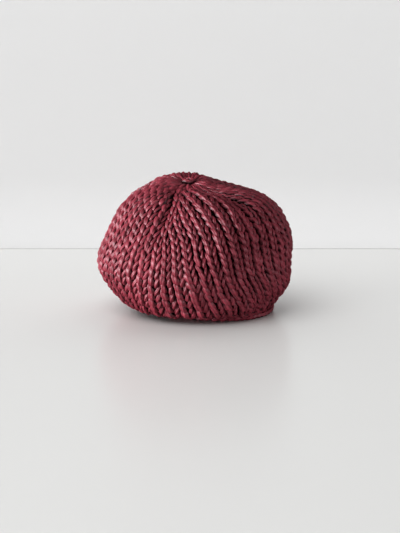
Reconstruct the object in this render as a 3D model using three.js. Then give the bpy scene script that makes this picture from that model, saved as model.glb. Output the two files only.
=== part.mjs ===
// A slouchy knit beret in very thick satin yarn, standing on its cast-on edge and filled out as if worn.
// Millimetres, +Z up, -Y to the front. The origin is on the surface that it stands on, under its middle.
// The hat is hollow: one knitted wall runs from the head opening up to the gathered crown.

import * as THREE from "three";
import { mergeVertices } from "three/addons/utils/BufferGeometryUtils.js";

// Driving dimensions
const WALL = 10; // a knitted wall of this yarn is about one and a half strands thick
const GAP = 0.3; // between solids that touch on the real hat
const WALES = 48; // columns of stitches round the fullest part
const WALE_RELIEF = 1.8; // depth of the furrow between two columns
const WALE_FADE = 0.4; // the furrows fade out over this share of the reach, below the gather
const EDGE_HEIGHT = 7; // the cast-on edge is one twisted pair of strands
const EDGE_WIDTH = 9;
const EDGE_FLAT = 5; // width of the edge's flattened underside and top
const TIE_STRAND = 5; // the drawn yarn end that closes the crown
const TIE_RING = 15; // outer diameter of its ring
const YARN_COLOUR = 0x7c2338;
const YARN_ROUGHNESS = 0.5;

// The middle line of the cast-on edge round the head opening: its centre and its half widths.
const EDGE = { x: 35, y: -4, left: 70, right: 55, front: 62, back: 66 };

// The foot of the wall stands on the cast-on edge and is as wide as it.
const HEM = {
  name: "hem",
  z: EDGE_HEIGHT + GAP,
  x: EDGE.x,
  y: EDGE.y,
  left: EDGE.left + EDGE_WIDTH / 2,
  right: EDGE.right + EDGE_WIDTH / 2,
  front: EDGE.front + EDGE_WIDTH / 2,
  back: EDGE.back + EDGE_WIDTH / 2,
  lean: 0,
  tip: 0,
};

// The outline of the wall from the hem up to the crown, as rings.
// x and y are a ring's centre, left to back its half widths, and lean and tip its slopes right and back.
const SECTIONS = [
  HEM,
  { name: "fold", z: 8, x: 12, y: -3, left: 80, right: 82, front: 80, back: 83, lean: 0.01, tip: 0.01 },
  { name: "skirt", z: 15, x: 8, y: -1, left: 91, right: 94, front: 89, back: 94, lean: 0.04, tip: 0.055 },
  { name: "lower", z: 31, x: 2, y: 0, left: 103, right: 110, front: 101, back: 106, lean: 0.02, tip: 0 },
  { name: "waist", z: 57, x: 0, y: 0, left: 114, right: 114, front: 107, back: 110, lean: 0, tip: 0 },
  { name: "upper", z: 86, x: 2, y: 1, left: 108, right: 113, front: 103, back: 108, lean: 0, tip: 0 },
  { name: "shoulder", z: 114, x: 3, y: 3, left: 96, right: 102, front: 89, back: 98, lean: 0, tip: 0 },
  { name: "rise", z: 134, x: 0, y: 3, left: 79, right: 88, front: 70, back: 80, lean: 0, tip: 0 },
  { name: "top", z: 147.5, x: -6, y: 2, left: 51, right: 58, front: 45, back: 53, lean: -0.02, tip: 0.03 },
  { name: "tip", z: 153.5, x: -8, y: 1, left: 17, right: 16, front: 16, back: 20, lean: -0.04, tip: 0.22 },
  { name: "gather", z: 151, x: -7, y: 0, left: 8, right: 8, front: 8, back: 8, lean: 0, tip: 0.16 },
];
const GATHER = SECTIONS.at(-1);
const GATHER_TILT = Math.atan(GATHER.tip); // the gather faces a little forward
const PIT_DEPTH = 2; // the crown closes this far below the gather

// Creases run from the crown down between the sections that the decreases make.
// Azimuths are in degrees from the front towards the right, and reach is 0 at the hem and 1 at the gather.
const CREASES = [
  { name: "front left", upper: -17, lower: -28, top: 0.95, bottom: 0.42, width: 9, depth: 7 },
  { name: "front right", upper: 30, lower: 40, top: 0.93, bottom: 0.5, width: 12, depth: 7 },
  { name: "right", upper: 92, lower: 95, top: 0.93, bottom: 0.6, width: 14, depth: 3.5 },
  { name: "back right", upper: 152, lower: 148, top: 0.93, bottom: 0.55, width: 14, depth: 4 },
  { name: "back left", upper: -148, lower: -152, top: 0.93, bottom: 0.55, width: 14, depth: 4 },
  { name: "left", upper: -86, lower: -90, top: 0.93, bottom: 0.6, width: 14, depth: 3.5 },
];

// Broad dents and swells of the slack wall. wide is in degrees, tall in reach, and depth goes inwards.
const DENTS = [
  { name: "slump on the right", azimuth: 38, reach: 0.42, wide: 14, tall: 0.12, depth: 3.5 },
  { name: "tuck over the edge", azimuth: 52, reach: 0.12, wide: 12, tall: 0.08, depth: 2 },
  { name: "cheek on the left", azimuth: -40, reach: 0.38, wide: 22, tall: 0.16, depth: -2 },
  { name: "sag at the back", azimuth: 165, reach: 0.4, wide: 20, tall: 0.16, depth: 4 },
  { name: "fold at the back left", azimuth: -125, reach: 0.3, wide: 12, tall: 0.2, depth: 3.5 },
];

// Steps of the meshes
const POINTS_ROUND = 2 * WALES; // one on each column's ridge and one in each furrow
const OUTER_STEPS = 30;
const INNER_STEPS = 15;
const TIE_SIDES = 10;
const TIE_STEPS = 24;
const NORMAL_STEP = 0.004; // how far apart the outward direction is measured, in radians and in reach

const COLUMNS = ["z", "x", "y", "left", "right", "front", "back", "lean", "tip"];
const TURN = 2 * Math.PI;
const { degToRad, lerp } = THREE.MathUtils;

// The mean half width of a ring.
function meanRadius(ring) {
  return (ring.left + ring.right + ring.front + ring.back) / 4;
}

// The reach of each section: how far up the wall it lies, by the distance between mean rings.
function sectionReaches() {
  const reaches = [0];
  SECTIONS.slice(1).forEach((section, i) => {
    const below = SECTIONS[i];
    reaches.push(reaches[i] + Math.hypot(meanRadius(section) - meanRadius(below), section.z - below.z));
  });
  return reaches.map((reach) => reach / reaches.at(-1));
}

// A natural cubic spline through the values, as a function of the knots' parameter.
function spline(knots, values) {
  const last = knots.length - 1;
  const step = knots.slice(1).map((knot, i) => knot - knots[i]);
  const slope = step.map((length, i) => (values[i + 1] - values[i]) / length);
  const share = [0];
  const rest = [0];
  for (let i = 1; i < last; i++) {
    const pivot = 2 * (step[i - 1] + step[i]) - step[i - 1] * share[i - 1];
    share.push(step[i] / pivot);
    rest.push((3 * (slope[i] - slope[i - 1]) - step[i - 1] * rest[i - 1]) / pivot);
  }
  const bend = new Array(last + 1).fill(0);
  for (let i = last - 1; i > 0; i--) {
    bend[i] = rest[i] - share[i] * bend[i + 1];
  }
  return (at) => {
    const i = Math.max(0, knots.findLastIndex((knot, k) => k < last && at >= knot));
    const t = at - knots[i];
    const rise = slope[i] - (step[i] * (2 * bend[i] + bend[i + 1])) / 3;
    const curl = (bend[i + 1] - bend[i]) / (3 * step[i]);
    return values[i] + rise * t + bend[i] * t * t + curl * t * t * t;
  };
}

const REACHES = sectionReaches();
const SPLINES = COLUMNS.map((column) => spline(REACHES, SECTIONS.map((section) => section[column])));

// The ring at one reach, with the same columns as a section.
function ringAt(reach) {
  return Object.fromEntries(COLUMNS.map((column, i) => [column, SPLINES[i](reach)]));
}

// A point of a ring. Azimuth 0 is the front, and a quarter turn is the right.
function ringPoint(ring, azimuth) {
  const side = Math.sin(azimuth);
  const ahead = Math.cos(azimuth);
  const across = side * (side >= 0 ? ring.right : ring.left);
  const along = -ahead * (ahead >= 0 ? ring.front : ring.back);
  return new THREE.Vector3(ring.x + across, ring.y + along, ring.z + ring.lean * across + ring.tip * along);
}

// An angle brought to within half a turn of zero.
function nearZero(angle) {
  return angle - TURN * Math.round(angle / TURN);
}

// How deep the creases and dents are at a place on the wall.
function foldDepth(azimuth, reach, ring) {
  let depth = 0;
  for (const crease of CREASES) {
    const down = THREE.MathUtils.clamp((crease.top - reach) / (crease.top - crease.bottom), 0, 1);
    const line = degToRad(lerp(crease.upper, crease.lower, down));
    const off = (nearZero(azimuth - line) * meanRadius(ring)) / crease.width;
    depth += crease.depth * Math.sin(Math.PI * down) * Math.exp(-off * off);
  }
  for (const dent of DENTS) {
    const off = nearZero(azimuth - degToRad(dent.azimuth)) / degToRad(dent.wide);
    const up = (reach - dent.reach) / dent.tall;
    depth += dent.depth * Math.exp(-off * off - up * up);
  }
  return depth;
}

// The outward direction of the smooth wall.
function outward(azimuth, reach) {
  const ring = ringAt(reach);
  const below = ringAt(Math.max(0, reach - NORMAL_STEP));
  const above = ringAt(Math.min(1, reach + NORMAL_STEP));
  const round = ringPoint(ring, azimuth + NORMAL_STEP).sub(ringPoint(ring, azimuth - NORMAL_STEP));
  const up = ringPoint(above, azimuth).sub(ringPoint(below, azimuth));
  return round.cross(up).normalize();
}

// A point of the wall, some way in from its outer face.
function wallPoint(azimuth, reach, inwards) {
  const ring = ringAt(reach);
  const depth = foldDepth(azimuth, reach, ring) + inwards;
  return ringPoint(ring, azimuth).addScaledVector(outward(azimuth, reach), -depth);
}

// A point over the middle of the gather, along the way that it faces.
function overGather(height) {
  const facing = new THREE.Vector3(0, -Math.sin(GATHER_TILT), Math.cos(GATHER_TILT));
  return new THREE.Vector3(GATHER.x, GATHER.y, GATHER.z).addScaledVector(facing, height);
}

// A point at one height beside the middle line of the cast-on edge.
function edgePoint(azimuth, out, z) {
  const beside = new THREE.Vector3(Math.sin(azimuth), -Math.cos(azimuth), 0).multiplyScalar(out);
  return ringPoint({ ...EDGE, z, lean: 0, tip: 0 }, azimuth).add(beside);
}

// The furrows between the columns of stitches, which fade where the crown narrows.
function furrow(index, reach) {
  const fade = Math.min(1, (1 - reach) / WALE_FADE);
  return index % 2 ? WALE_RELIEF * fade : 0;
}

// Collects triangles between rings of points that all have the same count.
class Skin {
  constructor(count) {
    this.count = count;
    this.points = [];
    this.faces = [];
  }

  // Adds a ring of points and returns the place of its first.
  ring(make) {
    const start = this.points.length;
    for (let i = 0; i < this.count; i++) {
      this.points.push(make((TURN * i) / this.count, i));
    }
    return start;
  }

  // Joins two rings. Seen from outside, the second lies above the first.
  band(first, second) {
    for (let i = 0; i < this.count; i++) {
      const next = (i + 1) % this.count;
      this.faces.push([first + i, first + next, second + next], [first + i, second + next, second + i]);
    }
  }

  // Closes a ring at one point. Seen from outside, the point lies above the ring, or below it where turned.
  close(ring, point, turned) {
    const centre = this.points.push(point) - 1;
    for (let i = 0; i < this.count; i++) {
      const pair = [ring + i, ring + ((i + 1) % this.count)];
      this.faces.push([...(turned ? pair.reverse() : pair), centre]);
    }
  }

  geometry() {
    const positions = this.points.flatMap((point) => point.toArray());
    const geometry = new THREE.BufferGeometry();
    geometry.setAttribute("position", new THREE.Float32BufferAttribute(positions, 3));
    geometry.setIndex(this.faces.flat());
    return mergeVertices(geometry);
  }
}

// The knitted wall: columns outside, a smooth hollow inside, and a crown closed in a shallow pit.
function knitBodyGeometry() {
  const skin = new Skin(POINTS_ROUND);
  const outer = [skin.ring((azimuth) => edgePoint(azimuth, EDGE_WIDTH / 2, HEM.z))];
  const inner = [skin.ring((azimuth) => edgePoint(azimuth, -EDGE_WIDTH / 2, HEM.z))];
  for (let step = 1; step <= OUTER_STEPS; step++) {
    const reach = step / OUTER_STEPS;
    outer.push(skin.ring((azimuth, i) => wallPoint(azimuth, reach, furrow(i, reach))));
  }
  for (let step = 1; step <= INNER_STEPS; step++) {
    const reach = step / INNER_STEPS;
    inner.push(skin.ring((azimuth) => wallPoint(azimuth, reach, WALL)));
  }
  outer.slice(1).forEach((ring, i) => skin.band(outer[i], ring));
  inner.slice(1).forEach((ring, i) => skin.band(ring, inner[i]));
  skin.band(inner[0], outer[0]);
  skin.close(outer.at(-1), overGather(-PIT_DEPTH), false);
  skin.close(inner.at(-1), overGather(-PIT_DEPTH - WALL), true);
  return skin.geometry();
}

// The cast-on edge: a ring round the head opening with a flat underside and a flat top.
function castOnEdgeGeometry() {
  const skin = new Skin(POINTS_ROUND);
  const flat = EDGE_FLAT / 2;
  const side = EDGE_WIDTH / 2;
  const bevel = side - flat;
  const profile = [
    { out: flat, z: 0 },
    { out: side, z: bevel },
    { out: side, z: EDGE_HEIGHT - bevel },
    { out: flat, z: EDGE_HEIGHT },
    { out: -flat, z: EDGE_HEIGHT },
    { out: -side, z: EDGE_HEIGHT - bevel },
    { out: -side, z: bevel },
    { out: -flat, z: 0 },
  ];
  const rings = profile.map(({ out, z }) => skin.ring((azimuth) => edgePoint(azimuth, out, z)));
  rings.forEach((ring, i) => skin.band(ring, rings[(i + 1) % rings.length]));
  return skin.geometry();
}

// The crown tie: the yarn end drawn through the last stitches, a ring that lies in the crown's pit.
function crownTieGeometry() {
  const radius = (TIE_RING - TIE_STRAND) / 2;
  const geometry = new THREE.TorusGeometry(radius, TIE_STRAND / 2, TIE_SIDES, TIE_STEPS);
  geometry.deleteAttribute("normal");
  geometry.deleteAttribute("uv");
  return mergeVertices(geometry);
}

// How high the tie's middle lies over the gather: its lowest circle rests on the pit's slope.
function crownTieHeight() {
  const radius = (TIE_RING - TIE_STRAND) / 2;
  const slope = PIT_DEPTH / GATHER.left;
  const seat = slope * radius - PIT_DEPTH;
  return seat + (TIE_STRAND / 2) * Math.hypot(1, slope) + GAP;
}

// A named mesh in the yarn's finish.
function piece(name, geometry) {
  const finish = { color: YARN_COLOUR, roughness: YARN_ROUGHNESS, metalness: 0 };
  const mesh = new THREE.Mesh(geometry, new THREE.MeshStandardMaterial(finish));
  mesh.name = name;
  return mesh;
}

const knitBody = piece("knit_body", knitBodyGeometry());
const castOnEdge = piece("cast_on_edge", castOnEdgeGeometry());
const crownTie = piece("crown_tie", crownTieGeometry());
crownTie.rotation.x = GATHER_TILT;
crownTie.position.copy(overGather(crownTieHeight()));

// The hat is centred over the origin by its own box.
const beret = new THREE.Group();
beret.add(knitBody, castOnEdge, crownTie);
const box = new THREE.Box3().setFromObject(beret);
beret.position.set(-(box.min.x + box.max.x) / 2, -(box.min.y + box.max.y) / 2, 0);

export default beret;
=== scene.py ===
"""A slouchy knit beret in very thick satin yarn, dressed stitch by stitch.

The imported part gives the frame: metres, +Z up, -Y to the front and +X to the right. The wall's rings,
creases and dents are the part's own. On them the script lays each round of stitches as one yarn, from the
cast-on edge up to the gathered crown, and a Geometry Nodes tree sweeps the yarn's section along it.
"""

import logging
import math
from dataclasses import astuple, dataclass, field
from enum import Enum
from typing import Any, Callable, Sequence

import bpy
import numpy as np
from bpy.types import Material, Node, NodeSocket, NodeTree, Object, World
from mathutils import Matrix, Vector


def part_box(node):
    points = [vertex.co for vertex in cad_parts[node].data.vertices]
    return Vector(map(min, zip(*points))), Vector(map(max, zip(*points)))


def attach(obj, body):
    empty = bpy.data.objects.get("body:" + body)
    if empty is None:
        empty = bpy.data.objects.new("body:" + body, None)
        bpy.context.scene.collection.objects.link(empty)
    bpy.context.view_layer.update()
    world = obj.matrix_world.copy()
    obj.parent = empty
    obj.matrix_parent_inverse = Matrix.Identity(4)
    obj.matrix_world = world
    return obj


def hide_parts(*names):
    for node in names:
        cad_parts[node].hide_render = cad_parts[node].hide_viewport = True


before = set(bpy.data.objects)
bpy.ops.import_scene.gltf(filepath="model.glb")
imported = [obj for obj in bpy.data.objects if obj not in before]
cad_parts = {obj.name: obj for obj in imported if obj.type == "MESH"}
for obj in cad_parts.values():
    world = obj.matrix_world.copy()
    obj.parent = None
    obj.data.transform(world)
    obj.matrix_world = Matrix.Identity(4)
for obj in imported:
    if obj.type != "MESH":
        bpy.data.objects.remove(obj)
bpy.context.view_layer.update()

Array = np.ndarray
Triple = tuple[float, float, float]
Five = tuple[float, float, float, float, float]

LOG = logging.getLogger("beret")
BODY = "root"
TURN = 2 * math.pi
SEED = 29

# The cast-on edge, the gap above it and the tie, as in the part.
EDGE_HEIGHT = 0.007
EDGE_WIDTH = 0.009
SEAT_GAP = 0.0003
TIE_STRAND = 0.005
TIE_RING = 0.015
# Where the half widths stand among a ring's numbers.
HALF_WIDTHS = slice(3, 7)
# How much the stitches differ, as the spread of one draw of each kind. They are drawn in this order.
DRAW_SIZES = {"shift": 0.04, "rise": 0.08, "slant": 0.03, "lift": 0.0003, "fat": 0.12, "tone": 1.0}


@dataclass(frozen=True)
class Section:
    """One ring of the wall: its height, centre, half widths and slopes to the right and the back."""

    name: str
    z: float
    x: float
    y: float
    left: float
    right: float
    front: float
    back: float
    lean: float
    tip: float

    @property
    def numbers(self) -> tuple[float, ...]:
        """All its numbers, without its name."""
        return astuple(self)[1:]

    @property
    def half_widths(self) -> tuple[float, ...]:
        """Its half widths on the left, the right, the front and the back."""
        return self.numbers[HALF_WIDTHS]

    @property
    def mean_radius(self) -> float:
        """The mean half width."""
        return sum(self.half_widths) / 4


EDGE = Section("edge", EDGE_HEIGHT / 2, 0.035, -0.004, 0.070, 0.055, 0.062, 0.066, 0, 0)
HEM_SIDES = [half + EDGE_WIDTH / 2 for half in EDGE.half_widths]
HEM = Section("hem", EDGE_HEIGHT + SEAT_GAP, EDGE.x, EDGE.y, *HEM_SIDES, 0, 0)
# Columns: name, z, x, y, left, right, front, back, lean, tip.
SECTIONS = (
    HEM,
    Section("fold", 0.008, 0.012, -0.003, 0.080, 0.082, 0.080, 0.083, 0.01, 0.01),
    Section("skirt", 0.015, 0.008, -0.001, 0.091, 0.094, 0.089, 0.094, 0.04, 0.055),
    Section("lower", 0.031, 0.002, 0, 0.103, 0.110, 0.101, 0.106, 0.02, 0),
    Section("waist", 0.057, 0, 0, 0.114, 0.114, 0.107, 0.110, 0, 0),
    Section("upper", 0.086, 0.002, 0.001, 0.108, 0.113, 0.103, 0.108, 0, 0),
    Section("shoulder", 0.114, 0.003, 0.003, 0.096, 0.102, 0.089, 0.098, 0, 0),
    Section("rise", 0.134, 0, 0.003, 0.079, 0.088, 0.070, 0.080, 0, 0),
    Section("top", 0.1475, -0.006, 0.002, 0.051, 0.058, 0.045, 0.053, -0.02, 0.03),
    Section("tip", 0.1535, -0.008, 0.001, 0.017, 0.016, 0.016, 0.020, -0.04, 0.22),
    Section("gather", 0.151, -0.007, 0, 0.008, 0.008, 0.008, 0.008, 0, 0.16),
)
GATHER_TILT = math.atan(SECTIONS[-1].tip)


@dataclass(frozen=True)
class Crease:
    """A valley down from the crown. Azimuths are in degrees. Reach is 0 at the hem and 1 at the gather."""

    name: str
    upper: float
    lower: float
    top: float
    bottom: float
    width: float
    depth: float


# Columns: name, upper and lower azimuth, top and bottom reach, width, depth.
CREASES = (
    Crease("front left", -17, -28, 0.95, 0.42, 0.009, 0.007),
    Crease("front right", 30, 40, 0.93, 0.5, 0.012, 0.007),
    Crease("right", 92, 95, 0.93, 0.6, 0.014, 0.0035),
    Crease("back right", 152, 148, 0.93, 0.55, 0.014, 0.004),
    Crease("back left", -148, -152, 0.93, 0.55, 0.014, 0.004),
    Crease("left", -86, -90, 0.93, 0.6, 0.014, 0.0035),
)


@dataclass(frozen=True)
class Dent:
    """A broad dent of the slack wall, or a swell where its depth is negative."""

    name: str
    azimuth: float
    reach: float
    wide: float
    tall: float
    depth: float


# Columns: name, azimuth, reach, width in degrees, height in reach, depth.
DENTS = (
    Dent("slump on the right", 38, 0.42, 14, 0.12, 0.0035),
    Dent("tuck over the edge", 52, 0.12, 12, 0.08, 0.002),
    Dent("cheek on the left", -40, 0.38, 22, 0.16, -0.002),
    Dent("sag at the back", 165, 0.4, 20, 0.16, 0.004),
    Dent("fold at the back left", -125, 0.3, 12, 0.2, 0.0035),
)


class NaturalSpline:
    """A natural cubic spline through rows of values."""

    def __init__(self, knots: Sequence[float], values: Sequence[Sequence[float]]) -> None:
        """Solves for the bend at each knot.

        Args:
            knots: The rising places of the rows.
            values: One row of numbers for each knot.
        """
        self.knots = np.array(knots, float)
        self.values = np.array(values, float)
        step = np.diff(self.knots)
        slope = np.diff(self.values, axis=0) / step[:, None]
        count = len(knots)
        system = np.eye(count)
        wanted = np.zeros_like(self.values)
        for i in range(1, count - 1):
            system[i, i - 1 : i + 2] = step[i - 1], 2 * (step[i - 1] + step[i]), step[i]
            wanted[i] = 3 * (slope[i] - slope[i - 1])
        self.bend = np.linalg.solve(system, wanted)
        self.slope = slope - step[:, None] * (2 * self.bend[:-1] + self.bend[1:]) / 3
        self.curl = np.diff(self.bend, axis=0) / (3 * step[:, None])

    def __call__(self, at: Array) -> Array:
        """The values at some places, one row for each."""
        at = np.asarray(at, float)
        i = np.clip(np.searchsorted(self.knots, at, side="right") - 1, 0, len(self.knots) - 2)
        t = (at - self.knots[i])[:, None]
        return self.values[i] + t * (self.slope[i] + t * (self.bend[i] + t * self.curl[i]))


def oval(azimuth: Array, half_widths: Sequence[Any]) -> tuple[Array, Array]:
    """How far to the right and the back an oval runs. Half widths: left, right, front and back."""
    left, right, front, back = half_widths
    side, ahead = np.sin(azimuth), np.cos(azimuth)
    return side * np.where(side >= 0, right, left), -ahead * np.where(ahead >= 0, front, back)


def middle(box: tuple[Sequence[float], Sequence[float]]) -> Array:
    """The middle of a box."""
    low, high = box
    return (np.array(low) + np.array(high)) / 2


def near_zero(angle: Array) -> Array:
    """The angles brought to within half a turn of zero."""
    return angle - TURN * np.round(angle / TURN)


def lengths(points: Array) -> Array:
    """The length of a line up to each of its points."""
    steps = np.linalg.norm(np.diff(points, axis=0), axis=1)
    return np.concatenate([[0.0], np.cumsum(steps)])


def wave(angle: Array, size: float, count: int, start: Any = 0.0) -> Array:
    """A wave that rises and falls a number of times round a ring."""
    return size * np.sin(count * angle + start)


def share_of(value: Array) -> Array:
    """A value kept from 0 to 1."""
    return np.clip(value, 0, 1)


@dataclass
class HatWall:
    """The smooth outer face of the knitted wall, as a surface over azimuth and reach."""

    sections: tuple[Section, ...] = SECTIONS
    creases: tuple[Crease, ...] = CREASES
    dents: tuple[Dent, ...] = DENTS
    meridians: int = 180
    meridian_steps: int = 600
    azimuth_step: float = 0.01
    climb_step: float = 0.008
    hem_climb: float = 0.06
    shift: Array = field(init=False)
    spline: NaturalSpline = field(init=False)
    climbs: Array = field(init=False)

    def __post_init__(self) -> None:
        """Fits the spline through the rings and finds how far the part was moved to stand over the origin."""
        reaches = [0.0]
        for below, above in zip(self.sections, self.sections[1:]):
            reaches.append(reaches[-1] + math.hypot(above.mean_radius - below.mean_radius, above.z - below.z))
        knots = [reach / reaches[-1] for reach in reaches]
        self.spline = NaturalSpline(knots, [section.numbers for section in self.sections])
        x, y, _ = middle(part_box("cast_on_edge"))
        own_x = EDGE.x + (EDGE.right - EDGE.left) / 2
        own_y = EDGE.y + (EDGE.back - EDGE.front) / 2
        self.shift = np.array([x - own_x, y - own_y, 0.0])
        self.climbs = self.measure_climbs()

    def measure_climbs(self) -> Array:
        """The reach at even shares of each meridian's length, one row for each meridian."""
        even = np.linspace(0, 1, self.meridian_steps + 1)
        rows = []
        for azimuth in TURN * np.arange(self.meridians) / self.meridians:
            length = lengths(self.ring_points(np.full(len(even), azimuth), even))
            rows.append(np.interp(even, length / length[-1], even))
        return np.array(rows)

    def reach(self, azimuth: Array, climb: Array) -> Array:
        """The reach at a share of the way up, measured along the wall from the hem to the gather."""
        column = np.mod(azimuth, TURN) / TURN * self.meridians
        row = share_of(climb) * self.meridian_steps
        left = np.floor(column).astype(int)
        low = np.minimum(np.floor(row).astype(int), self.meridian_steps - 1)
        across, up = column - left, row - low
        sides = (each % self.meridians for each in (left, left + 1))
        first, second = (
            self.climbs[side, low] * (1 - up) + self.climbs[side, low + 1] * up for side in sides
        )
        return first * (1 - across) + second * across

    def ring_points(self, azimuth: Array, reach: Array) -> Array:
        """The points of the rings, before creases and dents."""
        z, x, y, *half_widths, lean, tip = self.spline(share_of(reach)).T
        across, along = oval(azimuth, half_widths)
        return np.stack([x + across, y + along, z + lean * across + tip * along], 1)

    def mean_radius(self, reach: Array) -> Array:
        """The mean half width of the ring at each reach."""
        return self.spline(share_of(reach))[:, HALF_WIDTHS].mean(1)

    def fold_depth(self, azimuth: Array, reach: Array) -> Array:
        """How deep the creases and dents are at each place."""
        depth = np.zeros_like(azimuth)
        radius = self.mean_radius(reach)
        for crease in self.creases:
            down = share_of((crease.top - reach) / (crease.top - crease.bottom))
            line = np.radians(crease.upper + (crease.lower - crease.upper) * down)
            off = near_zero(azimuth - line) * radius / crease.width
            depth += crease.depth * np.sin(math.pi * down) * np.exp(-off * off)
        for dent in self.dents:
            off = near_zero(azimuth - math.radians(dent.azimuth)) / math.radians(dent.wide)
            up = (reach - dent.reach) / dent.tall
            depth += dent.depth * np.exp(-off * off - up * up)
        return depth

    def climbed(self, azimuth: Array, climb: Array) -> Array:
        """The points of the rings at shares of the way up."""
        return self.ring_points(azimuth, self.reach(azimuth, climb))

    def outward(self, azimuth: Array, climb: Array) -> Array:
        """The outward direction of the rings. Next to the hem it is that of the wall a little above."""
        turn, step = self.azimuth_step, self.climb_step
        climb = np.maximum(climb, self.hem_climb)
        across = self.climbed(azimuth + turn, climb) - self.climbed(azimuth - turn, climb)
        up = self.climbed(azimuth, climb + step) - self.climbed(azimuth, climb - step)
        outward = np.cross(across, up)
        return outward / np.linalg.norm(outward, axis=1, keepdims=True)

    def place(self, azimuth: Array, climb: Array, inwards: Array) -> tuple[Array, Array]:
        """Places points at a depth under the outer face.

        Args:
            azimuth: The azimuths in radians, 0 at the front.
            climb: How far up the wall each point lies, as a share of the way along it.
            inwards: Its depth.

        Returns:
            The points in the part's frame, and the outward directions there.
        """
        outward = self.outward(azimuth, climb)
        depth = self.fold_depth(azimuth, self.reach(azimuth, climb)) + inwards
        return self.climbed(azimuth, climb) - outward * depth[:, None] + self.shift, outward


@dataclass
class Strand:
    """One closed yarn: its middle line and what the sweep and the finish need along it."""

    points: Array
    outward: Array
    radius: Array
    twist: Array
    tone: Array
    # How far it lies hidden behind the legs, which the finish darkens as painted shade.
    hidden: Array

    @property
    def along(self) -> Array:
        """The length of yarn up to each point."""
        return lengths(self.points)


@dataclass(frozen=True)
class Yarn:
    """The very thick satin yarn: loose strands laid side by side with little twist."""

    strands: int = 5
    sides: int = 20
    groove: float = 0.15
    flatness: float = 0.92
    turn_length: float = 0.075
    # How the twist sways. Columns: size in radians, waves along the yarn, start.
    sways: tuple[Triple, ...] = ((0.5, 7, 0), (0.4, 17, 1.3))

    def twist(self, length: float, share: Array) -> Array:
        """The twist along a closed yarn, in whole turns over its length.

        Args:
            length: The yarn's length.
            share: How far round the yarn each point lies, from 0 to 1.

        Returns:
            The twist at each point, in radians.
        """
        turns = max(1, round(length / self.turn_length))
        sway = sum(size * np.sin(TURN * waves * share + start) for size, waves, start in self.sways)
        return TURN * turns * share + sway


def operator(operation: str, swapped: bool = False) -> Callable[["Link", Any], "Link"]:
    """A method that joins a link and another term in a Math node.

    Args:
        operation: What the node works out.
        swapped: Whether the other term comes first.

    Returns:
        The method.
    """

    def join(link: "Link", other: Any) -> "Link":
        terms = (other, link) if swapped else (link, other)
        return link.graph.math(operation, *terms)

    return join


@dataclass(frozen=True)
class Link:
    """An output of a node, which takes part in expressions."""

    graph: "Graph"
    socket: NodeSocket

    __add__ = operator("ADD")
    __radd__ = operator("ADD", swapped=True)
    __sub__ = operator("SUBTRACT")
    __rsub__ = operator("SUBTRACT", swapped=True)
    __mul__ = operator("MULTIPLY")

    def clamped(self, low: float = 0.0, high: float = 1.0) -> "Link":
        """self kept within two limits."""
        return self.graph.link("ShaderNodeClamp", {"Value": self, "Min": low, "Max": high})

    def scaled(self, share: "Link") -> "Link":
        """A vector or a colour times a number."""
        return self.graph.link("ShaderNodeVectorMath", {0: self, "Scale": share}, operation="SCALE")

    def dot(self, other: Any) -> "Link":
        """The dot product with another vector."""
        return self.graph.link("ShaderNodeVectorMath", {0: self, 1: other}, operation="DOT_PRODUCT")


class Graph:
    """A node tree under construction."""

    def __init__(self, tree: NodeTree) -> None:
        """Takes up a tree."""
        self.tree = tree

    def fill(self, node: Node, inputs: dict[Any, Any]) -> None:
        """Sets a node's inputs, by name or number, to values or links."""
        for key, value in inputs.items():
            named = (socket for socket in node.inputs if socket.name == key and socket.enabled)
            socket = next(named) if isinstance(key, str) else node.inputs[key]
            if isinstance(value, Link):
                self.tree.links.new(value.socket, socket)
            else:
                socket.default_value = value

    def link(self, kind: str, inputs: dict[Any, Any], output: str = "", **settings: Any) -> Link:
        """Adds a node.

        Args:
            kind: The node's type.
            inputs: Values or links, by a socket's name or number.
            output: The output to return, or nothing for the first that is in use.
            **settings: The node's settings, which are set first.

        Returns:
            The node's output.
        """
        node = self.tree.nodes.new(kind)
        for key, value in settings.items():
            setattr(node, key, value)
        self.fill(node, inputs)
        first = next(socket for socket in node.outputs if socket.enabled)
        return Link(self, node.outputs[output] if output else first)

    def math(self, operation: str, *terms: Any) -> Link:
        """The result of a Math node on these terms."""
        return self.link("ShaderNodeMath", dict(enumerate(terms)), operation=operation)


class SweepTree(Graph):
    """A Geometry Nodes tree under construction."""

    def __init__(self, name: str) -> None:
        """Starts an empty tree with a geometry input and output."""
        super().__init__(bpy.data.node_groups.new(name, "GeometryNodeTree"))
        for way in ("INPUT", "OUTPUT"):
            self.tree.interface.new_socket("Geometry", in_out=way, socket_type="NodeSocketGeometry")
        self.entry = self.tree.nodes.new("NodeGroupInput")
        self.exit = self.tree.nodes.new("NodeGroupOutput")
        self.inputs: dict[str, str] = {}

    def input(self, name: str, kind: str) -> Link:
        """Adds a named input and returns it as a link inside the tree."""
        item = self.tree.interface.new_socket(name, in_out="INPUT", socket_type=kind)
        self.inputs[name] = item.identifier
        return Link(self, self.entry.outputs[name])

    def place(self) -> Link:
        """Where each point is."""
        return self.link("GeometryNodeInputPosition", {})

    def attribute(self, name: str, kind: str = "FLOAT") -> Link:
        """A named attribute of the geometry."""
        return self.link("GeometryNodeInputNamedAttribute", {"Name": name}, data_type=kind)

    def store(self, geometry: Link, name: str, value: Link, kind: str = "FLOAT") -> Link:
        """Stores a named attribute on the points and returns the geometry."""
        inputs = {"Geometry": geometry, "Name": name, "Value": value}
        return self.link("GeometryNodeStoreNamedAttribute", inputs, data_type=kind, domain="POINT")

    def finish(self, geometry: Link, material: Link) -> None:
        """Ends the tree in real meshes with their material."""
        real = self.link("GeometryNodeRealizeInstances", {"Geometry": geometry})
        painted = self.link("GeometryNodeSetMaterial", {"Geometry": real, "Material": material})
        self.tree.links.new(painted.socket, self.exit.inputs["Geometry"])


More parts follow.
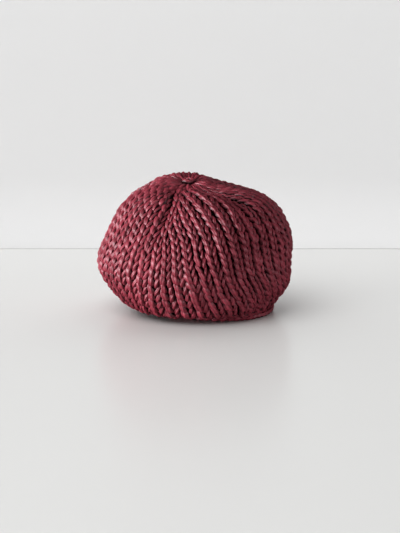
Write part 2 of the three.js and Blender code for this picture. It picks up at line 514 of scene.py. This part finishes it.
class YarnSweep:
    """Sweeps the section of a yarn along its middle line."""

    inputs = (
        ("Strands", "NodeSocketFloat"),
        ("Sides", "NodeSocketInt"),
        ("Groove", "NodeSocketFloat"),
        ("Flatness", "NodeSocketFloat"),
        ("Material", "NodeSocketMaterial"),
    )

    def __init__(self, yarn: Yarn) -> None:
        """Builds the tree once, for every piece that is made of this yarn."""
        self.yarn = yarn
        self.tree = tree = SweepTree("yarn_sweep")
        strands, sides, groove, flatness, material = (tree.input(*each) for each in self.inputs)

        line = tree.link("GeometryNodeMeshToCurve", {"Mesh": Link(tree, tree.entry.outputs["Geometry"])})
        line = tree.store(line, "yarn_middle", tree.place(), "FLOAT_VECTOR")
        outward = tree.attribute("yarn_outward", "FLOAT_VECTOR")
        line = tree.link("GeometryNodeSetCurveNormal", {"Curve": line, "Normal": outward}, mode="FREE")
        line = tree.link("GeometryNodeSetCurveTilt", {"Curve": line, "Tilt": tree.attribute("yarn_twist")})
        radius = tree.attribute("yarn_radius")
        swept = {"Curve": line, "Profile Curve": self.section(strands, sides, groove), "Scale": radius}
        pressed = self.pressed(tree.link("GeometryNodeCurveToMesh", swept), radius, flatness)
        tree.finish(tree.link("GeometryNodeSetShadeSmooth", {"Geometry": pressed}), material)

    def section(self, strands: Link, sides: Link, groove: Link) -> Link:
        """The yarn's section: a circle with a furrow between each two strands."""
        tree = self.tree
        place = tree.place()
        across, up = (tree.link("ShaderNodeSeparateXYZ", {"Vector": place}, axis) for axis in "XY")
        plies = tree.math("COSINE", tree.math("ARCTAN2", up, across) * strands)
        circle = {"Resolution": sides, "Radius": 1.0}
        marked = tree.link("GeometryNodeCurvePrimitiveCircle", circle, mode="RADIUS")
        # The ply wave also paints shade into the grooves and lighter crests in the finish.
        for name, value in (("yarn_cosine", across), ("yarn_sine", up), ("yarn_ply", plies)):
            marked = tree.store(marked, name, value)
        shaped = place.scaled(tree.math("MULTIPLY_ADD", plies, groove, 1.0))
        return tree.link("GeometryNodeSetPosition", {"Geometry": marked, "Position": shaped})

    def pressed(self, mesh: Link, radius: Link, flatness: Link) -> Link:
        """Presses the yarn flat against the hat, and notes how far out each point lies on it."""
        tree = self.tree
        centre = tree.attribute("yarn_middle", "FLOAT_VECTOR")
        outward = tree.attribute("yarn_outward", "FLOAT_VECTOR")
        off = tree.link("ShaderNodeVectorMath", {0: tree.place(), 1: centre}, operation="SUBTRACT")
        height = off.dot(outward)
        # The finish paints highlight on the front of the yarn and shade on its flanks by this height.
        mesh = tree.store(mesh, "yarn_face", tree.math("DIVIDE", height, radius))
        offset = outward.scaled(height * (flatness - 1.0))
        return tree.link("GeometryNodeSetPosition", {"Geometry": mesh, "Offset": offset})

    def make(self, name: str, strands: list[Strand], material: Material) -> Object:
        """Makes one piece from its yarns.

        Args:
            name: The piece's name.
            strands: The yarns in it.
            material: Its finish.

        Returns:
            The piece, as a plain mesh at the origin.
        """
        piece = middle_lines(name, strands)
        modifier = piece.modifiers.new("Yarn", "NODES")
        modifier.node_group = self.tree.tree
        yarn = self.yarn
        values = (float(yarn.strands), yarn.sides, yarn.groove, yarn.flatness, material)
        for (key, _), value in zip(self.inputs, values):
            modifier[self.tree.inputs[key]] = value
        graph = bpy.context.evaluated_depsgraph_get()
        swept = piece.evaluated_get(graph)
        mesh = bpy.data.meshes.new_from_object(swept, preserve_all_data_layers=True, depsgraph=graph)
        piece.modifiers.clear()
        piece.data = mesh
        mesh.name = name
        return piece


def middle_lines(name: str, strands: list[Strand]) -> Object:
    """A mesh of edges along the yarns, which carries their attributes.

    Args:
        name: The object's name.
        strands: The yarns.

    Returns:
        The object, linked to the scene.
    """
    edges = []
    start = 0
    for strand in strands:
        count = len(strand.points)
        first = np.arange(count)
        edges.append(np.stack([first, (first + 1) % count], 1) + start)
        start += count
    mesh = bpy.data.meshes.new(name)
    points = np.concatenate([strand.points for strand in strands])
    mesh.from_pydata(points.tolist(), np.concatenate(edges).tolist(), [])
    for key in ("radius", "twist", "tone", "hidden", "along", "outward"):
        numbers = np.concatenate([getattr(strand, key) for strand in strands]).astype(np.float32)
        kind, values = ("FLOAT", "value") if numbers.ndim == 1 else ("FLOAT_VECTOR", "vector")
        mesh.attributes.new(f"yarn_{key}", kind, "POINT").data.foreach_set(values, numbers.ravel())
    piece = bpy.data.objects.new(name, mesh)
    bpy.context.scene.collection.objects.link(piece)
    return piece


@dataclass(frozen=True)
class SectorLine:
    """A line down the hat where decreases meet: its azimuths in degrees at each of LINE_REACHES."""

    name: str
    azimuths: Five
    columns: int
    bow: Five = (0, 0, 0, 0, 0)


LINE_REACHES = (0.1, 0.3, 0.5, 0.7, 0.9)
# Columns: the line at a sector's left end, its azimuths, the columns of stitches from it to the next line,
# and how far the middle ones are pushed to the right, as shares of the sector.
SECTOR_LINES = (
    SectorLine("front left", (-41, -27, -26, -22, -18), 9, (0.06, 0.02, -0.08, -0.08, 0)),
    SectorLine("front right", (58, 39, 34, 32, 30), 8),
    SectorLine("right", (112, 99, 96, 92, 92), 8),
    SectorLine("back right", (165, 160, 157, 152, 152), 7),
    SectorLine("back left", (212, 213, 211, 210, 212), 8),
    SectorLine("left", (266, 273, 273, 272, 274), 8),
)


@dataclass
class Row:
    """One round of stitches: the azimuths of their middles, feet and heads, and which head lies on top."""

    level: float
    own: Array
    foot: Array
    head: Array
    lift: Array


class Decrease(Enum):
    """Which end of a sector loses a stitch."""

    LEFT = "slip, slip, knit"
    RIGHT = "knit two together"


def between(middles: Array, places: Array) -> Array:
    """The azimuths at some places in a round, counted in stitches from the first one's middle."""
    before, after = middles[-1:] - TURN, middles[:2] + TURN
    return np.interp(places, np.arange(-1, len(middles) + 2), np.concatenate([before, middles, after]))


def spread(middles: Array, each: Array, across: Array) -> Array:
    """The azimuths at shares of the stitches' widths from their middles. Neighbours share their edges."""
    left = (middles + np.concatenate([middles[-1:] - TURN, middles[:-1]])) / 2
    right = np.concatenate([left[1:], left[:1] + TURN])
    width = np.where(across < 0, middles[each] - left[each], right[each] - middles[each])
    return middles[each] + 2 * across * width


@dataclass
class KnitPlan:
    """How many stitches each sector has in each round, and how the columns run into each other."""

    wall: HatWall
    rows: int = 23
    start: float = 1.1
    first_pitch: float = 0.0385
    loop_rise: float = 1.1
    end_gap: float = 0.05
    line_end: float = 0.94
    # How wide a stitch wants to be, and the reaches of these widths.
    widths: tuple[float, ...] = (0.0136, 0.0118, 0.0106, 0.0100, 0.0086, 0.0060)
    width_reaches: tuple[float, ...] = (0.5, 0.6, 0.7, 0.8, 0.9, 1.0)
    least: int = 3
    first_decrease: float = 0.59
    pair_offset: float = 0.12
    # How often the stitches settle, how much they keep their places, and how many times a neighbour in the
    # column counts for one in the round.
    settling: int = 60
    hold: float = 0.15
    column_pull: int = 2

    def __post_init__(self) -> None:
        """Fits the sector lines."""
        self.lines = NaturalSpline(LINE_REACHES, np.radians([line.azimuths for line in SECTOR_LINES]).T)
        self.bows = NaturalSpline(LINE_REACHES, np.transpose([line.bow for line in SECTOR_LINES]))
        self.span = self.start + self.rows - 1 + self.loop_rise + self.end_gap

    def climb(self, level: Array) -> Array:
        """The share of the way up at a number of rows above the hem. Upper rows are a little taller."""
        growth = (1 - self.first_pitch * self.span) / self.span**2
        return level * (self.first_pitch + growth * level)

    def azimuth(self, sector: Array, share: Array, reach: Array) -> Array:
        """The azimuth at a share of the way across a sector."""
        at = np.clip(reach, LINE_REACHES[0], self.line_end)
        lines = self.lines(at)
        each = np.arange(len(reach))
        share = share + self.bows(at)[each, sector] * np.sin(math.pi * share)
        left = lines[each, sector]
        following = (sector + 1) % len(SECTOR_LINES)
        right = lines[each, following] + np.where(following == 0, TURN, 0.0)
        return left + share * (right - left)

    def counts(self) -> Array:
        """The stitches of each sector in each round. Above the first decrease they follow the width."""
        table = [np.array([line.columns for line in SECTOR_LINES])]
        for row in range(1, self.rows):
            reach = float(self.climb(np.array(self.start + row)))
            sectors = np.arange(len(SECTOR_LINES))
            every = np.full(len(sectors), reach)
            left, right = (self.azimuth(sectors, np.full(len(sectors), share), every) for share in (0, 1))
            arc = (right - left) * self.wall.mean_radius(every)
            wanted = np.round(arc / np.interp(reach, self.width_reaches, self.widths)).astype(int)
            before = table[-1]
            fewer = np.clip(wanted, np.maximum(before - 1, self.least), before)
            table.append(fewer if reach > self.first_decrease else before)
        return np.array(table)

    def rounds(self) -> list[Row]:
        """Every round of stitches, from the cast-on edge to the crown."""
        table = self.counts()
        feet = [self.feet(row, table) for row in range(self.rows)]
        heads, lifts = zip(*(self.heads(row, table) for row in range(self.rows)))
        middles = self.settle([self.even(row, counts) for row, counts in enumerate(table)], feet, heads)
        made = []
        for row, own in enumerate(middles):
            foot = between(middles[row - 1], feet[row]) if row else own
            head = between(middles[row + 1], heads[row]) if row + 1 < self.rows else own
            made.append(Row(self.start + row, own, foot, head, lifts[row]))
        return made

    def even(self, row: int, counts: Array) -> Array:
        """The azimuths of a round's stitches where each sector's are evenly wide."""
        sector = np.repeat(np.arange(len(counts)), counts)
        share = np.concatenate([(np.arange(count) + 0.5) / count for count in counts])
        climb = self.climb(np.full(len(share), self.start + row))
        return self.azimuth(sector, share, self.wall.reach(self.azimuth(sector, share, climb), climb))

    def settle(self, even: list[Array], feet: list[Array], heads: list[Array]) -> list[Array]:
        """Lets the stitches slide along their rounds until their columns run smoothly.

        Args:
            even: The azimuths to start from, which keep a light hold on the stitches.
            feet: Each stitch's place in the round below.
            heads: Each stitch's place in the round above.

        Returns:
            The settled azimuths of each round.
        """
        middles = even
        for _ in range(self.settling):
            eased = []
            for row, own in enumerate(middles):
                numbers = np.arange(len(own))
                pulls = [(between(own, numbers - 1.0) + between(own, numbers + 1.0)) / 2]
                if row:
                    pulls += [between(middles[row - 1], feet[row])] * self.column_pull
                if row + 1 < self.rows:
                    pulls += [between(middles[row + 1], heads[row])] * self.column_pull
                eased.append(self.hold * even[row] + (1 - self.hold) * np.mean(pulls, axis=0))
            middles = eased
        return middles

    def side(self, row: int, sector: int) -> Decrease:
        """The end where a sector decreases in a round. Ends take turns, but the front loses its left ones."""
        return Decrease.RIGHT if sector and (row + sector) % 2 else Decrease.LEFT

    def feet(self, row: int, table: Array) -> Array:
        """Where each stitch of a round stands in the round below. A decrease stands on two stitches."""
        counts, below = table[row], table[max(row - 1, 0)]
        places = []
        for sector, (count, under) in enumerate(zip(counts, below)):
            place = np.arange(count, dtype=float)
            if under > count and self.side(row, sector) is Decrease.LEFT:
                place += np.where(place == 0, 0.5, 1.0)
            elif under > count:
                place[-1] += 0.5
            places.append(place + below[:sector].sum())
        return np.concatenate(places)

    def heads(self, row: int, table: Array) -> tuple[Array, Array]:
        """Where each stitch's head sits in the round above, and which of two heads in one lies on top."""
        counts, above = table[row], table[min(row + 1, self.rows - 1)]
        places, lifts = [], []
        for sector, (count, over) in enumerate(zip(counts, above)):
            place = np.arange(count, dtype=float)
            lift = np.zeros(count)
            if over < count and self.side(row + 1, sector) is Decrease.LEFT:
                place = np.maximum(place - 1.0, 0.0)
                place[:2] += (-self.pair_offset, self.pair_offset)
                lift[:2] = 1, -1
            elif over < count:
                place = np.minimum(place, count - 2.0)
                place[-2:] += (-self.pair_offset, self.pair_offset)
                lift[-2:] = -1, 1
            places.append(place + above[:sector].sum())
            lifts.append(lift)
        return np.concatenate(places), np.concatenate(lifts)


@dataclass
class StitchRows:
    """The knitted wall: rounds of stitches, each round one yarn that loops up and down."""

    wall: HatWall
    plan: KnitPlan
    yarn: Yarn
    # The points along a stitch, and how much closer they lie on its legs.
    samples: int = 20
    sample_ease: float = 0.12
    # How far its legs lean, as shares of its width, and the lean of an upright one.
    left_slant: float = 0.20
    right_slant: float = 0.22
    upright: float = 1 / (2 * TURN)
    # How deep its loops lie behind its legs, which is less at the crown.
    depth: float = 0.0044
    half_yarn: float = 0.0026
    crown_flatter: float = 0.8
    front_height: float = -0.25
    front_flatness: float = 0.82
    leg_lift: float = 0.0003
    pair_lift: float = 0.0008
    # Where the yarn begins to lie hidden behind the legs, which the finish darkens as painted shade.
    hidden_from: float = 0.65
    stagger: float = 0.2
    # The yarn is thinner where the stitches are narrow, and drawn to the tie above a climb.
    radius: float = 0.0027
    radius_share: float = 0.166
    crown_radius_share: float = 0.3
    crown_climb: float = 0.82
    drawn_climb: float = 0.93
    drawn_share: float = 0.5
    # How thick the yarn is along its legs and loops, as shares of its radius, and at what heights.
    left_fatter: float = 0.12
    left_pinch: float = 0.72
    right_pinch: float = 0.50
    leaf: float = 0.88
    leaf_height: float = -0.06
    leaf_body: float = 2.6
    leaf_point: float = 2.6
    loop_start: float = 0.75
    loop_radius: float = 2.05
    overhang: float = 0.0042
    overhang_side: float = 1.3
    overhang_reach: float = 0.11
    # The drift of the columns. Columns: size in radians, waves round the hat, radians up it, start.
    drifts: tuple[tuple[float, int, float, float], ...] = ((0.006, 5, 14, 0), (0.005, 9, -23, 1))
    pieces: tuple[tuple[str, int, int], ...] = (
        ("brim_rows", 0, 5),
        ("lower_rows", 5, 10),
        ("middle_rows", 10, 14),
        ("upper_rows", 14, 18),
        ("crown_rows", 18, 23),
    )

    def strands(self) -> list[Strand]:
        """The yarn of every round."""
        rng = np.random.default_rng(SEED)
        return [self.strand(row, rng) for row in self.plan.rounds()]

    def strand(self, row: Row, rng: np.random.Generator) -> Strand:
        """The yarn of one round.

        Args:
            row: The round.
            rng: The draws for the small differences between stitches.

        Returns:
            The yarn as a closed strand.
        """
        count = len(row.own)
        even = TURN * np.arange(self.samples) / self.samples
        turn = np.tile(even + self.sample_ease * np.sin(2 * even), count)
        each = np.repeat(np.arange(count), self.samples)
        draw = {key: size * rng.normal(size=count)[each] for key, size in DRAW_SIZES.items()}
        loose = 1 - np.cos(turn / 2) ** 4
        past = self.plan.climb(np.array(row.level)) - self.crown_climb
        near_crown = share_of(past / (1 - self.crown_climb))

        height = -np.cos(turn)
        left_leg = turn < math.pi
        slant = np.where(left_leg, self.left_slant, self.right_slant) + draw["slant"]
        slant = slant + near_crown * (self.upright - slant)
        across = turn / TURN - 0.5 + slant * np.sin(2 * turn) + draw["shift"] * loose
        up = self.plan.loop_rise * height + self.stagger * np.sin(turn) + draw["rise"] * loose
        climb = self.plan.climb(row.level + up)
        own, foot, head = (spread(middles, each, across) for middles in (row.own, row.foot, row.head))
        azimuth = own + share_of(-up) * (foot - own) + share_of(up) * (head - own)
        reach = self.wall.reach(azimuth, climb)
        azimuth += self.drift(azimuth, reach)

        left, right = (spread(row.own, each, np.full(len(each), side)) for side in (-0.5, 0.5))
        share = self.radius_share + (self.crown_radius_share - self.radius_share) * near_crown
        radius = np.minimum(self.radius, share * (right - left) * self.wall.mean_radius(reach))
        radius = radius * self.swell(height, left_leg) * (1 + draw["fat"] * loose)
        radius = radius * (1 + self.left_fatter * np.sin(turn))

        depth = self.depth * (1 - self.crown_flatter * near_crown)
        lift = self.leg_lift * np.sin(turn) + draw["lift"] * loose
        lift += self.pair_lift * row.lift[each] * share_of(height)
        inwards = self.half_yarn * self.yarn.flatness + depth * (1 - self.front(height)) - lift
        inwards -= self.overhung(azimuth, reach)
        points, outward = self.wall.place(azimuth, climb, inwards)
        drawn = self.drawn_share * share_of((climb - self.drawn_climb) / (1 - self.drawn_climb)) ** 2
        points += drawn[:, None] * (middle(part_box("crown_tie")) - points)
        length = float(np.linalg.norm(points - np.roll(points, 1, axis=0), axis=1).sum())
        twist = self.yarn.twist(length, np.arange(len(points)) / len(points))
        # How far back behind the legs the yarn lies, where the finish paints shade.
        hidden = share_of(self.hidden_from - self.front(height))
        return Strand(points, outward, radius, twist, draw["tone"], hidden)

    def overhung(self, azimuth: Array, reach: Array) -> Array:
        """How far the first rounds bulge out over the cast-on edge, most on the right."""
        low = share_of(1 - reach / self.overhang_reach)
        return self.overhang * low * share_of(np.cos(azimuth - self.overhang_side))

    def swell(self, height: Array, left_leg: Array) -> Array:
        """The yarn's thickness by height: a leaf where a leg shows, and full loops behind it."""
        off = np.minimum(np.abs(height - self.leaf_height) / self.leaf, 1)
        leaf = (1 - off**self.leaf_body) ** (1 / self.leaf_body)
        pinch = np.where(left_leg, self.left_pinch, self.right_pinch)
        loop = share_of((np.abs(height) - self.loop_start) / (1 - self.loop_start))
        shown = (leaf**self.leaf_point + pinch**self.leaf_point) ** (1 / self.leaf_point)
        return np.maximum(shown, pinch + (self.loop_radius - pinch) * loop)

    def front(self, height: Array) -> Array:
        """How far forward the yarn lies at a height: 1 on a leg and -1 at a loop's head and foot."""
        peak = self.front_height
        off = np.where(height < peak, (height - peak) / (1 + peak), (height - peak) / (1 - peak))
        forward = 1 - 2 * off * off
        return np.sign(forward) * np.abs(forward) ** self.front_flatness

    def drift(self, azimuth: Array, reach: Array) -> Array:
        """The small drift of the columns to either side."""
        return sum(wave(azimuth, size, count, up * reach + start) for size, count, up, start in self.drifts)

    def build(self, sweep: YarnSweep, material: Material) -> list[Object]:
        """Builds the wall's pieces."""
        strands = self.strands()
        return [sweep.make(name, strands[first:last], material) for name, first, last in self.pieces]


@dataclass
class CastOnEdge:
    """The cast-on edge: two strands twisted round each other, on which the hat stands."""

    wall: HatWall
    yarn: Yarn
    turns: int = 24
    steps: int = 480
    strand_radius: float = 0.0024
    # Waves round the edge, of the strand's thickness as a share and of its tone. Columns: size, count.
    swell: tuple[float, int] = (0.04, 5)
    shades: tuple[float, int] = (0.6, 11)

    def strand(self, start: float) -> Strand:
        """One of the two strands.

        Args:
            start: Where in the twist it begins, in radians.

        Returns:
            The closed strand.
        """
        share = np.arange(self.steps) / self.steps
        azimuth = TURN * share
        phase = self.turns * azimuth + start
        out = (EDGE_WIDTH / 2 - self.strand_radius) * np.cos(phase)
        up = (EDGE_HEIGHT / 2 - self.strand_radius) * np.sin(phase)
        across, along = oval(azimuth, EDGE.half_widths)
        radial = np.stack([np.sin(azimuth), -np.cos(azimuth), np.zeros(self.steps)], 1)
        points = np.stack([EDGE.x + across, EDGE.y + along, EDGE.z + up], 1) + radial * out[:, None]
        radius = self.strand_radius * (1 + wave(azimuth, *self.swell, start))
        tone = wave(azimuth, *self.shades, start)
        twist = self.yarn.twist(TURN * EDGE.mean_radius, share)
        return Strand(points + self.wall.shift, radial, radius, twist, tone, np.zeros(self.steps))

    def build(self, sweep: YarnSweep, material: Material) -> Object:
        """Builds the edge."""
        return sweep.make("cast_on_strands", [self.strand(0.0), self.strand(math.pi)], material)


@dataclass
class CrownTie:
    """The yarn end that is drawn through the last stitches, a small ring in the crown's pit."""

    steps: int = 96
    turns: int = 2
    # Waves round the ring, of its width and thickness as shares and of its height. Columns: size, count.
    bulge: tuple[float, int] = (0.07, 3)
    swell: tuple[float, int] = (0.06, 4)
    rise: tuple[float, int] = (0.0006, 2)

    def build(self, sweep: YarnSweep, material: Material) -> Object:
        """Builds the ring in the place of the part's."""
        angle = TURN * (np.arange(self.steps) / self.steps)
        ring = (TIE_RING - TIE_STRAND) / 2 * (1 + wave(angle, *self.bulge))
        tilt = np.array([[1, 0, 0], [0, math.cos(GATHER_TILT), math.sin(GATHER_TILT)]])
        flat = np.stack([np.cos(angle), np.sin(angle)], 1) @ tilt
        facing = np.array([0.0, -math.sin(GATHER_TILT), math.cos(GATHER_TILT)])
        points = middle(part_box("crown_tie")) + flat * ring[:, None]
        points += facing * wave(angle, *self.rise)[:, None]
        radius = np.full(self.steps, TIE_STRAND / 2) * (1 + wave(angle, *self.swell))
        plain = np.zeros(self.steps)
        strand = Strand(points, np.tile(facing, (self.steps, 1)), radius, self.turns * angle, plain, plain)
        return sweep.make("crown_tie_yarn", [strand], material)


class Shader(Graph):
    """The shader of a material or of the world, under construction."""

    def __init__(self, owner: Material | World, surface: str) -> None:
        """Starts from the owner's first shader node."""
        owner.use_nodes = True
        super().__init__(owner.node_tree)
        self.surface = self.tree.nodes[surface]

    def finish(self, inputs: dict[Any, Any]) -> None:
        """Sets the inputs of the first shader node."""
        self.fill(self.surface, inputs)

    def attribute(self, name: str) -> Link:
        """A number that the mesh carries."""
        return self.link("ShaderNodeAttribute", {}, "Fac", attribute_name=name)

    def noise(self, place: Link, scale: float, detail: float, roughness: float = 0.5) -> Link:
        """Noise over a place."""
        inputs = {"Vector": place, "Scale": scale, "Detail": detail, "Roughness": roughness}
        return self.link("ShaderNodeTexNoise", inputs, "Fac")

    def place(self, kind: str) -> Link:
        """Where each point is, in a kind of coordinates."""
        return self.link("ShaderNodeTexCoord", {}, kind)


@dataclass(frozen=True)
class YarnFinish:
    """The look of the satin yarn: wine red fibres that lie along it and shine pink in the light, with painted
    shade where it lies hidden or turns away and a painted highlight on its front face.
    """

    name: str
    deep: Triple = (0.085, 0.002, 0.006)
    bright: Triple = (0.39, 0.042, 0.070)
    roughness: float = 0.45
    roughness_range: float = 0.25
    roughness_limits: tuple[float, float] = (0.2, 0.9)
    specular: float = 1.0
    specular_tint: Triple = (1.0, 0.78, 0.84)
    # Painted shade: how light the yarn stays where it lies hidden behind the legs and on its flanks, and
    # where its face begins.
    painted_hidden_shade: float = 0.04
    painted_flank_shade: float = 0.10
    face_start: float = 0.25
    # Streaks have a scale round the yarn, a scale along a metre of it and a detail. Clouds have one scale.
    fibre_streaks: Triple = (5.0, 90.0, 3.0)
    hair_streaks: Triple = (17.0, 160.0, 2.0)
    streak_roughness: float = 0.6
    clouds: tuple[float, float] = (38.0, 2.0)
    # How much each moves the colour from deep to bright. The face's is a painted highlight and the plies' a
    # painted shade in the grooves with lighter crests; the others are the yarn's own colour.
    plain_light: float = 0.3
    painted_face_highlight: float = 0.35
    fibre_light: float = 1.2
    hair_light: float = 0.7
    painted_ply_shade: float = 0.16
    cloud_light: float = 0.6
    tone_light: float = 0.09
    fibre_relief: float = 0.6
    bump_strength: float = 0.45
    bump_height: float = 0.0009

    def material(self) -> Material:
        """Builds the material."""
        material = bpy.data.materials.new(self.name)
        shader = Shader(material, "Principled BSDF")
        fibres = self.streaks(shader, *self.fibre_streaks)
        hairs = self.streaks(shader, *self.hair_streaks)
        cloud = shader.noise(shader.place("Object"), *self.clouds)
        # The yarn's front face, lit by painted highlight, with its flanks left in painted shade.
        face = (shader.attribute("yarn_face") + self.face_start).clamped()
        # Painted shade: darker where the yarn lies hidden behind the legs and on the flanks that turn away
        # from the front.
        shown = 1.0 - shader.attribute("yarn_hidden") * (1.0 - self.painted_hidden_shade)
        shown = shown * (self.painted_flank_shade + face * (1.0 - self.painted_flank_shade))
        # Painted highlight on the yarn's front face; the fibre and hair streaks are the yarn's own colour.
        share = self.plain_light + face * self.painted_face_highlight
        share = share + (fibres - 0.5) * self.fibre_light + (hairs - 0.5) * self.hair_light
        # Painted shade in the grooves between strands and lighter crests; the clouds and tone are the yarn's
        # own colour.
        share = share + shader.attribute("yarn_ply") * self.painted_ply_shade + (cloud - 0.5) * self.cloud_light
        share = share + shader.attribute("yarn_tone") * self.tone_light
        height = fibres * self.fibre_relief + hairs * (1.0 - self.fibre_relief)
        roughness = self.roughness + (0.5 - hairs) * self.roughness_range
        colours = {"Factor": share.clamped(), "A": (*self.deep, 1.0), "B": (*self.bright, 1.0)}
        colour = shader.link("ShaderNodeMix", colours, data_type="RGBA", clamp_factor=True)
        relief = {"Height": height, "Strength": self.bump_strength, "Distance": self.bump_height}
        inputs = {
            "Base Color": colour.scaled(shown),
            "Roughness": roughness.clamped(*self.roughness_limits),
            "Normal": shader.link("ShaderNodeBump", relief),
            "Specular IOR Level": self.specular,
            "Specular Tint": (*self.specular_tint, 1.0),
        }
        shader.finish(inputs)
        return material

    def streaks(self, shader: Shader, across: float, along: float, detail: float) -> Link:
        """Noise that is drawn out along the yarn."""
        scales = {"cosine": across, "sine": across, "along": along}
        axes = {axis: shader.attribute(f"yarn_{key}") * scales[key] for axis, key in zip("XYZ", scales)}
        place = shader.link("ShaderNodeCombineXYZ", axes)
        return shader.noise(place, 1.0, detail, self.streak_roughness)


@dataclass(frozen=True)
class StageFinish:
    """A plain pale painted surface."""

    name: str
    colour: Triple
    roughness: float

    def material(self) -> Material:
        """Builds the material."""
        material = bpy.data.materials.new(self.name)
        inputs = {"Base Color": (*self.colour, 1.0), "Roughness": self.roughness}
        Shader(material, "Principled BSDF").finish(inputs)
        return material


@dataclass(frozen=True)
class Lamp:
    """A square soft light: what it lights, its place, its width, its power in watts and its aim."""

    name: str
    lights: str
    place: Triple
    size: float
    power: float
    aim: Triple = (0.0, 0.0, 0.07)

    def build(self, lit: list[Object]) -> None:
        """Builds the light, which shines on the given objects alone."""
        light = bpy.data.lights.new(self.name, "AREA")
        light.size = self.size
        light.energy = self.power
        lamp = bpy.data.objects.new(self.name, light)
        lamp.location = self.place
        lamp.rotation_euler = (Vector(self.aim) - Vector(self.place)).to_track_quat("-Z", "Y").to_euler()
        lamp.visible_camera = False
        receivers = bpy.data.collections.new(f"{self.name}_lights")
        for each in lit:
            receivers.objects.link(each)
        lamp.light_linking.receiver_collection = receivers
        bpy.context.scene.collection.objects.link(lamp)


@dataclass
class Studio:
    """The plain pale floor, the backdrop and the soft light."""

    half_width: float = 4.0
    front_end: float = -3.0
    floor_end: float = 0.40
    bend: float = 0.10
    height: float = 4.0
    bend_steps: int = 12
    floor_finish: StageFinish = StageFinish("pale_floor", (0.76, 0.76, 0.75), 0.26)
    wall_finish: StageFinish = StageFinish("pale_backdrop", (0.90, 0.90, 0.90), 0.9)
    room_light: float = 0.17
    window_light: float = 0.9
    window_side: Triple = (-0.93, -0.2, 0.31)
    lamps: tuple[Lamp, ...] = (
        Lamp("key", "hat", (-3.6, -1.25, 0.72), 1.1, 206.0),
        Lamp("fill", "hat", (2.6, -2.8, 1.1), 0.8, 30.0),
        Lamp("floor_light", "floor", (-1.1, -1.3, 2.2), 2.6, 50.0),
        Lamp("floor_sheen", "floor", (0.0, 0.395, 0.5), 1.3, 3.0, (0.0, -1.0, 0.5)),
        Lamp("backdrop_light", "backdrop", (0.0, -1.6, 2.2), 2.4, 48.0),
    )

    def build(self, hat: list[Object]) -> None:
        """Builds the stage and the lights.

        Args:
            hat: The pieces of the hat, which have lights of their own.
        """
        floor = self.sheet("floor", [(self.front_end, 0.0), (self.floor_end, 0.0)], self.floor_finish)
        wall = [(self.floor_end, 0.0)]
        for i in range(1, self.bend_steps + 1):
            angle = math.pi / 2 * i / self.bend_steps
            wall.append((self.floor_end + self.bend * math.sin(angle), self.bend * (1 - math.cos(angle))))
        wall.append((self.floor_end + self.bend, self.height))
        backdrop = self.sheet("backdrop", wall, self.wall_finish)
        self.world()
        lit = {"hat": hat, "floor": [floor], "backdrop": [backdrop]}
        for lamp in self.lamps:
            lamp.build(lit[lamp.lights])

    def sheet(self, name: str, profile: list[tuple[float, float]], finish: StageFinish) -> Object:
        """A sheet that runs across the view.

        Args:
            name: The object's name.
            profile: Its points from front to back, as places along Y and heights.
            finish: Its look.

        Returns:
            The sheet.
        """
        points = [(side * self.half_width, y, z) for y, z in profile for side in (-1, 1)]
        faces = [(2 * i, 2 * i + 1, 2 * i + 3, 2 * i + 2) for i in range(len(profile) - 1)]
        mesh = bpy.data.meshes.new(name)
        mesh.from_pydata(points, [], faces)
        mesh.shade_smooth()
        mesh.materials.append(finish.material())
        sheet = bpy.data.objects.new(name, mesh)
        sheet.visible_glossy = False
        bpy.context.scene.collection.objects.link(sheet)
        return sheet

    def world(self) -> None:
        """The light of a pale room with its windows on the left."""
        world = bpy.data.worlds.new("room")
        shader = Shader(world, "Background")
        towards = shader.place("Generated").dot(self.window_side).clamped()
        strength = self.room_light + towards * towards * self.window_light
        shader.finish({"Color": (1.0, 1.0, 1.0, 1.0), "Strength": strength})
        bpy.context.scene.world = world
        world.cycles_visibility.glossy = False


@dataclass
class Viewpoint:
    """The camera at the photograph's angle."""

    look: Triple = (-0.0008, -0.0007, 0.078)
    elevation: float = 10.0
    distance: float = 1.484
    lens: float = 85.0
    sensor: float = 36.0
    shift: tuple[float, float] = (0.0107, -0.0428)

    def build(self) -> None:
        """Creates the camera and makes it the scene's."""
        data = bpy.data.cameras.new("camera")
        data.lens = self.lens
        data.sensor_width = self.sensor
        data.shift_x, data.shift_y = self.shift
        camera = bpy.data.objects.new("camera", data)
        tilt = math.radians(self.elevation)
        camera.location = (
            self.look[0],
            self.look[1] - self.distance * math.cos(tilt),
            self.look[2] + self.distance * math.sin(tilt),
        )
        camera.rotation_euler = (math.pi / 2 - tilt, 0.0, 0.0)
        bpy.context.scene.collection.objects.link(camera)
        bpy.context.scene.camera = camera


def dress(piece: Object, node: str) -> None:
    """Lets a piece ride on the part, in the place of one of its nodes.

    Args:
        piece: The finished piece.
        node: The node that it stands for.
    """
    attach(piece, BODY)
    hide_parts(node)
    mesh = piece.data
    mesh.calc_loop_triangles()
    LOG.info("%s: %d triangles for %s", piece.name, len(mesh.loop_triangles), node)


def main() -> None:
    """Builds the hat, the stage and the camera."""
    logging.basicConfig(level=logging.INFO, format="%(name)s: %(message)s")
    bpy.context.scene.view_settings.view_transform = "Standard"
    wall = HatWall()
    yarn = Yarn()
    sweep = YarnSweep(yarn)
    rows = StitchRows(wall, KnitPlan(wall), yarn).build(sweep, YarnFinish("satin_yarn").material())
    edge = CastOnEdge(wall, yarn).build(sweep, YarnFinish("edge_yarn").material())
    tie = CrownTie().build(sweep, YarnFinish("tie_yarn").material())
    for piece in rows:
        dress(piece, "knit_body")
    dress(edge, "cast_on_edge")
    dress(tie, "crown_tie")
    Studio().build([*rows, edge, tie])
    Viewpoint().build()


if __name__ == "__main__":
    main()
